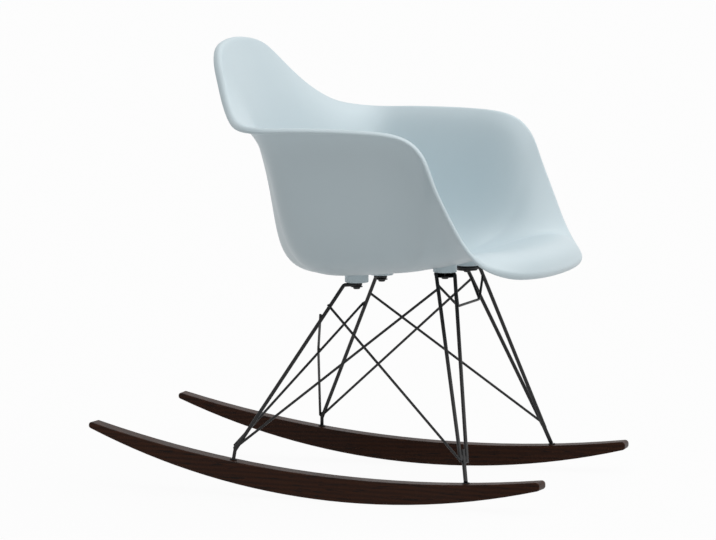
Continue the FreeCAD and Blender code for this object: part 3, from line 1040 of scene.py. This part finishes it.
def soft_facet_tree(gap: float = 0.000002) -> GeometryTree:
    """Make the tree that joins a node's loose facets and shades them smooth.

    Args:
        gap: How near corners are joined.

    Returns:
        The tree.
    """
    tree = GeometryTree("softened_facets", (("Crease", "Float", CREASE),))
    angle = tree.add("GeometryNodeInputMeshEdgeAngle").outputs["Unsigned Angle"]
    terms = {"A": angle, "B": tree.given["Crease"]}
    soft = tree.add("FunctionNodeCompare", terms, data_type="FLOAT", operation="LESS_EQUAL")
    shape = tree.given["Geometry"]
    shape = tree.through("GeometryNodeMergeByDistance", shape, {"Distance": gap})
    shape = tree.through("GeometryNodeSetShadeSmooth", shape, domain="FACE")
    edges = {"Shade Smooth": soft.outputs["Result"]}
    shape = tree.through("GeometryNodeSetShadeSmooth", shape, edges, domain="EDGE")
    tree.join(shape, tree.out["Geometry"])
    return tree


# The wire base


@dataclass
class RodLine:
    """One rod as a line of points, with the bend's radius at each of them."""

    points: list[Vector]
    bends: list[float] = field(default_factory=list)

    def __post_init__(self) -> None:
        """Leave a rod without bends straight."""
        self.bends = self.bends or [0.0] * len(self.points)

    def placed(self, side: Side) -> "RodLine":
        """Return the rod on one side of the chair."""
        return RodLine([side.place(point) for point in self.points], self.bends)


@dataclass
class Rocker:
    """The lines that the rockers follow."""

    middle: float = 226.0
    toe: float = 0.0585
    top_radius: float = 2113.0
    top_y: float = -146.0
    top_z: float = 38.0

    def on_top(self, y: float) -> Vector:
        """Return the point on the middle line of the left rocker's top face.

        Args:
            y: Where along the rocker.

        Returns:
            The point.
        """
        across = self.top_radius**2 - (y - self.top_y) ** 2
        height = self.top_z + self.top_radius - math.sqrt(across)
        return Vector((self.middle - self.toe * y, y, height))


@dataclass
class Foot:
    """The place where a leg stands on a rocker.

    Attributes:
        spot: Where the pin meets the rocker's top.
        way: The pin's direction, which is made one long.
    """

    spot: Vector
    way: Vector

    def __post_init__(self) -> None:
        """Make the direction one long."""
        self.way = self.way.normalized()

    def up(self, distance: float) -> Vector:
        """Return the point on the pin's axis at a distance from the rocker."""
        return self.spot + self.way * distance


@dataclass
class WireBase:
    """Legs, braces, ties and pins, welded from bent rod.

    What is called up is a distance along a pin from the rocker's top. Heights
    are those of a brace's joints, the upper one first.
    """

    rocker: Rocker
    rod: float = 6.4
    brace: float = 4.4
    sides: int = 24
    bend_steps: int = 12
    bend_clear: float = 0.01
    bend: float = 6.5
    weld: float = 0.3
    lap_end: float = 1.6
    front_foot_y: float = -272.0
    front_pin: float = 7.0
    front_pin_way: Triple = (-0.452, 0.238, 0.86)
    front_rods_up: float = 39.0
    front_rods_side: Triple = (0.88, 0.47, 0.0)
    front_bar: Triple = (74.0, -181.0, 365.5)
    front_gap: float = 31.0
    front_turn: float = math.radians(22.0)
    front_reach: float = 15.0
    rear_foot_y: float = 144.0
    rear_pin: float = 6.0
    rear_pin_way: Triple = (-0.24, -0.09, 0.966)
    rear_pin_up: Pair = (1.5, 22.5)
    rear_rod_up: float = 16.5
    rear_bar: Triple = (83.5, -4.5, 343.5)
    rear_turn: float = math.radians(35.5)
    rear_reach: float = 24.0
    hook_radius: float = 6.3
    hook_tail: float = 10.0
    outer_heights: Pair = (307.8, 77.0)
    inner_heights: Pair = (343.3, 80.0)
    inner_side: float = 0.15
    straight_heights: Pair = (288.3, 80.0)
    bowed_heights: Pair = (291.0, 77.0)
    bow_radius: float = 300.0
    tie_corner: Triple = (58.0, -198.0, 312.0)
    tie_bend: float = 9.0
    tie_height: float = 352.0
    strut_height: float = 350.0
    strut_short: float = 2.4
    bead_width: float = 5.0
    bead_seed: int = 7
    bead_out: float = 0.56
    bead_down: float = 3.0
    pin_bead_in: float = 0.52
    pin_bead_on: float = 6.0
    rear_bead_up: float = 18.0
    beads: list[tuple[Vector, Vector]] = field(default_factory=list)

    def __post_init__(self) -> None:
        """Set the feet, the rods' ends and their directions."""
        turn = self.front_turn
        across = Vector((math.sin(turn), math.cos(turn), 0.0)) * (0.5 * self.front_gap)
        self.inward = Vector((-math.cos(turn), math.sin(turn), 0.0))
        self.hind_top = Vector(self.front_bar) + across
        self.fore_top = Vector(self.front_bar) - across
        self.front_foot = Foot(self.rocker.on_top(self.front_foot_y), Vector(self.front_pin_way))
        way = self.front_foot.way
        side = Vector(self.front_rods_side)
        side = (side - way * side.dot(way)).normalized()
        side *= 0.5 * (self.rod + self.front_pin) - self.weld
        self.front_end = self.front_foot.up(self.front_rods_up)
        self.hind_end = self.front_end + side
        self.fore_end = self.front_end - side
        turn = self.rear_turn
        self.rear_along = Vector((-math.sin(turn), -math.cos(turn), 0.0))
        self.rear_across = Vector((-math.cos(turn), math.sin(turn), 0.0))
        self.rear_top = Vector(self.rear_bar)
        self.rear_foot = Foot(self.rocker.on_top(self.rear_foot_y), Vector(self.rear_pin_way))
        self.rear_end = self.rear_foot.up(self.rear_rod_up)

    @property
    def screws(self) -> tuple[Vector, Vector]:
        """The front and the rear screw's places on the bosses' lower faces.

        Returns:
            The two places on the left side.
        """
        above = Vector((0.0, 0.0, 0.5 * self.rod))
        rear = self.rear_top + self.rear_along * self.rear_reach
        rear += self.rear_across * self.hook_radius
        return Vector(self.front_bar) + self.inward * self.front_reach + above, rear + above

    def bead(self, spot: Vector, way: Vector, stretch: float) -> None:
        """Note a weld bead at a place, stretched along a direction."""
        self.beads.append((spot, way * stretch))

    def front_leg(self) -> RodLine:
        """Return the front leg, a hairpin whose head is bent in under the seat.

        Returns:
            The rod of the left leg.
        """
        reach = self.inward * (self.front_reach + 0.5 * self.front_gap)
        points = [self.hind_end, self.hind_top, self.hind_top + reach]
        points += [self.fore_top + reach, self.fore_top, self.fore_end]
        half = 0.5 * self.front_gap - self.bend_clear
        return RodLine(points, [0.0, self.bend, half, half, self.bend, 0.0])

    def rear_leg(self) -> RodLine:
        """Return the rear leg, one rod whose head is a hook round the screw.

        Returns:
            The rod of the left leg.
        """
        hook = self.hook_radius
        tip = self.rear_top + self.rear_along * (self.rear_reach + hook)
        back = tip + self.rear_across * (2.0 * hook)
        tail = back - self.rear_along * (hook + self.hook_tail)
        points = [self.rear_end, self.rear_top, tip, back, tail]
        turn = hook - self.bend_clear
        return RodLine(points, [0.0, self.bend, turn, turn, 0.0])

    @staticmethod
    def at_height(start: Vector, end: Vector, height: float) -> Vector:
        """Return the point of a straight rod at a height."""
        return start.lerp(end, (height - start.z) / (end.z - start.z))

    def lapped(
        self,
        first: tuple[Vector, Vector],
        last: tuple[Vector, Vector],
        heights: Pair,
        side: float,
    ) -> list[Vector]:
        """Return where a brace between two rods starts and ends.

        Args:
            first: The two ends of the rod that it starts on.
            last: The two ends of the other rod.
            heights: The heights of the two joints.
            side: The side of the rods that it lies on: 1, -1, or less for a
                brace that meets them nearer their axes.

        Returns:
            The brace's two ends, with a bead noted at each joint.
        """
        ends = [self.at_height(*rod, height) for rod, height in zip((first, last), heights)]
        way = (ends[1] - ends[0]).normalized()
        off = 0.5 * (self.rod + self.brace) - self.weld
        out = []
        for end, rod, sign in zip(ends, (first, last), (-1.0, 1.0)):
            across = way.cross((rod[0] - rod[1]).normalized()).normalized() * (off * side)
            self.bead(end + across * self.bead_out, way, stretch=1.5)
            out.append(end + across + way * (sign * self.lap_end * abs(side)))
        return out

    def side_braces(self) -> tuple[RodLine, RodLine]:
        """Return the outer and the inner brace of one side.

        Returns:
            The two rods of the left side.
        """
        rear = (self.rear_top, self.rear_end)
        hind = (self.hind_top, self.hind_end)
        outer = self.lapped(rear, hind, self.outer_heights, -1.0)
        inner = self.lapped(hind, rear, self.inner_heights, self.inner_side)
        return RodLine(outer), RodLine(inner)

    def rear_braces(self) -> tuple[RodLine, RodLine]:
        """Return the straight rear brace and the one bowed behind it.

        Returns:
            The two rods.
        """
        near = (self.rear_top, self.rear_end)
        far = (Side.RIGHT.place(self.rear_top), Side.RIGHT.place(self.rear_end))
        start, end = self.lapped(near, far, self.straight_heights, 1.0)
        bow_start, bow_end = self.lapped(far, near, self.bowed_heights, -1.0)
        way = end - start
        bow_way = bow_end - bow_start
        behind = way.cross(bow_way)
        share = (bow_start - start).cross(bow_way).dot(behind) / behind.dot(behind)
        crossing = start + way * share
        behind = behind.normalized() * math.copysign(1.0, behind.y)
        middle = crossing + behind * (self.brace - self.weld)
        self.bead(crossing + behind * 0.5 * self.brace, way.normalized(), stretch=1.4)
        bowed = RodLine([bow_start, middle, bow_end], [0.0, self.bow_radius, 0.0])
        return RodLine([start, end]), bowed

    def tie(self) -> tuple[RodLine, RodLine]:
        """Return the front tie and the strut that meets its bend.

        Returns:
            The tie, and the strut of the left side.
        """
        corner = Vector(self.tie_corner)
        start = self.at_height(self.fore_top, self.fore_end, self.tie_height)
        points = [start, corner, Side.RIGHT.place(corner), Side.RIGHT.place(start)]
        top = self.at_height(self.hind_top, self.hind_end, self.strut_height)
        fall = (corner - top).normalized()
        low = corner - fall * self.strut_short
        down = (corner - start).normalized()
        self.bead(start + down * self.bead_down, down, stretch=1.5)
        self.bead(top + fall * self.bead_down, fall, stretch=1.0)
        self.bead(low, fall, stretch=1.2)
        return RodLine(points, [0.0, self.tie_bend, self.tie_bend, 0.0]), RodLine([top, low])

    def foot_beads(self) -> None:
        """Note the long beads where the rods lie against the pins."""
        way = self.front_foot.way
        for end in (self.hind_end, self.fore_end):
            spot = end.lerp(self.front_end, self.pin_bead_in) + way * self.pin_bead_on
            self.bead(spot, way, stretch=2.6)
        self.bead(self.rear_foot.up(self.rear_bead_up), self.rear_foot.way, stretch=1.5)

    def bent(
        self,
        name: str,
        lines: Sequence[RodLine],
        tree: GeometryTree,
        material: Material,
        diameter: float,
    ) -> Object:
        """Make rods along their lines.

        Args:
            name: The piece's name.
            lines: The rods.
            tree: The tree for bent rod.
            material: The rods' material.
            diameter: Their diameter.

        Returns:
            One object with all of the rods.
        """
        points = []
        edges = []
        for line in lines:
            start = len(points)
            points += [point * MM for point in line.points]
            edges += [(k, k + 1) for k in range(start, len(points) - 1)]
        bends = [bend * MM for line in lines for bend in line.bends]
        mesh = bpy.data.meshes.new(name)
        mesh.from_pydata(points, edges, [])
        mesh.attributes.new("bend_radius", "FLOAT", "POINT").data.foreach_set("value", bends)
        made = new_object(name, mesh)
        sizes = {"Diameter": diameter * MM, "Sides": self.sides, "Bend Steps": self.bend_steps}
        tree.apply_to(made, {**sizes, "Material": material})
        return settled(made)

    def laid_beads(self, tree: GeometryTree, material: Material) -> Object:
        """Make every noted weld bead on both sides.

        Args:
            tree: The tree for weld beads.
            material: The beads' material.

        Returns:
            One object with all of the beads.
        """
        beads = [(side.place(spot), side.place(run)) for side in Side for spot, run in self.beads]
        mesh = bpy.data.meshes.new("weld_beads")
        mesh.from_pydata([spot * MM for spot, _ in beads], [], [])
        runs = [number for _, run in beads for number in run]
        mesh.attributes.new("run", "FLOAT_VECTOR", "POINT").data.foreach_set("vector", runs)
        made = new_object("weld_beads", mesh)
        sizes = {"Width": self.bead_width * MM, "Seed": self.bead_seed}
        tree.apply_to(made, {**sizes, "Material": material})
        return settled(made)

    def build(self, finishes: Finishes) -> None:
        """Make the rods and the beads and hang them on the chair.

        Args:
            finishes: The finishes by slot.
        """
        outer, inner = self.side_braces()
        straight, bowed = self.rear_braces()
        tie, strut = self.tie()
        self.foot_beads()
        shaft = RodLine([self.rear_foot.up(distance) for distance in self.rear_pin_up])
        paired = (
            ("front_leg", self.front_leg(), self.rod),
            ("rear_leg", self.rear_leg(), self.rod),
            ("side_brace_outer", outer, self.brace),
            ("side_brace_inner", inner, self.brace),
        )
        single = (
            ("rear_brace_straight", [straight]),
            ("rear_brace_bowed", [bowed]),
            ("front_tie", [tie]),
            ("tie_struts", [strut.placed(side) for side in Side]),
        )
        pieces = [
            (f"{kind}_rod_{word}", [line.placed(side)], diameter, (f"{kind}_{word}",))
            for side, word in ((Side.LEFT, "left"), (Side.RIGHT, "right"))
            for kind, line, diameter in paired
        ]
        pieces.append(("rear_pin_shafts", [shaft.placed(side) for side in Side], self.rear_pin, ()))
        pieces += [(f"{node}_rod", lines, self.brace, (node,)) for node, lines in single]
        coat = finishes.of(Slot.WIRE)
        tree = rod_tree()
        for name, lines, diameter, nodes in pieces:
            made = self.bent(name, lines, tree, coat, diameter)
            finish_piece(made, coat, nodes)
        finish_piece(self.laid_beads(bead_tree(), coat), coat)


# The frame's own nodes that stay


@dataclass(frozen=True)
class KeptNode:
    """A node of the frame whose solid shape is shown as it is."""

    name: str
    slot: Slot

    def build(self, finishes: Finishes, tree: GeometryTree) -> None:
        """Dress the node and smooth the shading of its facets.

        Args:
            finishes: The finishes by slot.
            tree: The tree that softens facets.
        """
        made = bpy.data.objects[self.name]
        for place in made.material_slots:
            place.material = finishes.of(self.slot)
        tree.apply_to(made, {"Crease": CREASE})
        if self.slot is Slot.WOOD:
            weighted = made.modifiers.new("flat_sides", "WEIGHTED_NORMAL")
            weighted.keep_sharp = True
        LOG.info("%s: kept, %s", self.name, self.slot.value)


KEPT_NODES = {
    Slot.WOOD: ("rocker_left", "rocker_right"),
    Slot.WIRE: ("front_foot_pins", "rear_foot_pins"),
    Slot.SCREW: ("mount_screws", "front_mount_washers", "rear_mount_washers"),
    Slot.BRASS: ("shell_inserts",),
    Slot.STEEL: ("rocker_nuts", "rocker_washers"),
}


# Studio and camera


@dataclass
class Studio:
    """A pale floor under one broad soft lamp and an even sky."""

    sky: float = 0.36
    lamp: float = 2.3
    lamp_spread: float = math.radians(90.0)
    lamp_from: Triple = (0.12, -0.45, 1.0)
    floor_half: float = 60.0
    floor_tone: float = 0.62
    floor_glow: float = 0.95

    @staticmethod
    def seen_mask(tree: TreeBuilder) -> NodeSocket:
        """Return a mask that is 1 for what the camera, gloss and glass see.

        Args:
            tree: The tree that the nodes go into.

        Returns:
            The mask's socket.
        """
        path = tree.add("ShaderNodeLightPath").outputs
        mask = tree.maths("MAXIMUM", path["Is Camera Ray"], path["Is Glossy Ray"])
        return tree.maths("MAXIMUM", mask, path["Is Transmission Ray"])

    def sky_world(self) -> None:
        """Light the scene from all round, and show white to the camera and in gloss."""
        world = bpy.data.worlds.new("studio")
        bpy.context.scene.world = world
        world.use_nodes = True
        world.node_tree.nodes.clear()
        tree = TreeBuilder(world.node_tree)
        level = tree.ranged(self.seen_mask(tree), self.sky, 1.0)
        glow = tree.add("ShaderNodeBackground", {"Strength": level})
        tree.add("ShaderNodeOutputWorld", {"Surface": glow.outputs["Background"]})

    def soft_lamp(self) -> None:
        """Hang the broad lamp."""
        lamp = bpy.data.lights.new("soft_lamp", "SUN")
        lamp.energy = self.lamp
        lamp.angle = self.lamp_spread
        made = new_object("soft_lamp", lamp)
        made.rotation_euler = Vector(self.lamp_from).to_track_quat("Z", "Y").to_euler()

    def pale_floor(self) -> None:
        """Lay the floor, white to the camera but for the chair's shadow."""
        half = self.floor_half
        mesh = bpy.data.meshes.new("studio_floor")
        corners = [(-half, -half, 0.0), (half, -half, 0.0), (half, half, 0.0), (-half, half, 0.0)]
        mesh.from_pydata(corners, [], [(0, 1, 2, 3)])
        made = new_object("studio_floor", mesh)
        surface = Surface("studio_floor")
        tone = (*(self.floor_tone,) * 3, 1.0)
        material = surface.dressed(Base_Color=tone, Roughness=0.9, Specular_IOR_Level=0.1)
        share = surface.maths("MULTIPLY", self.seen_mask(surface), self.floor_glow)
        glow = surface.add("ShaderNodeEmission").outputs["Emission"]
        shaders = {0: share, 1: surface.shader.outputs["BSDF"], 2: glow}
        mixed = surface.add("ShaderNodeMixShader", shaders)
        surface.join(mixed.outputs["Shader"], surface.out.inputs["Surface"])
        mesh.materials.append(material)

    def build(self) -> None:
        """Set up the light and the floor."""
        self.sky_world()
        self.soft_lamp()
        self.pale_floor()
        bpy.context.scene.view_settings.view_transform = "Standard"


@dataclass
class PhotoCamera:
    """The camera at the photograph's place, in metres and radians."""

    azimuth: float = -1.2322445
    elevation: float = 0.101451235
    distance: float = 7.4
    aim: Triple = (0.0, 0.0, 0.3605)
    lens: float = 219.0
    sensor: float = 36.0
    farthest: float = 300.0

    def build(self) -> None:
        """Place the camera and make it the scene's own."""
        flat = math.cos(self.elevation)
        sideways = math.sin(self.azimuth) * flat
        back = Vector((sideways, -math.cos(self.azimuth) * flat, math.sin(self.elevation)))
        data = bpy.data.cameras.new("photo_camera")
        data.sensor_width = self.sensor
        data.lens = self.lens
        data.clip_end = self.farthest
        made = new_object("photo_camera", data)
        made.location = Vector(self.aim) + back * self.distance
        made.rotation_euler = back.to_track_quat("Z", "Y").to_euler()
        bpy.context.scene.camera = made


def main() -> None:
    """Build the chair, the studio and the camera in order."""
    logging.basicConfig(level=logging.INFO, format="%(name)s %(message)s")
    PhotoCamera().build()
    Studio().build()
    finishes = Finishes()
    base = WireBase(Rocker())
    SeatShell().build(finishes, base.screws)
    base.build(finishes)
    facets = soft_facet_tree()
    for slot, names in KEPT_NODES.items():
        for name in names:
            KeptNode(name, slot).build(finishes, facets)


if __name__ == "__main__":
    main()
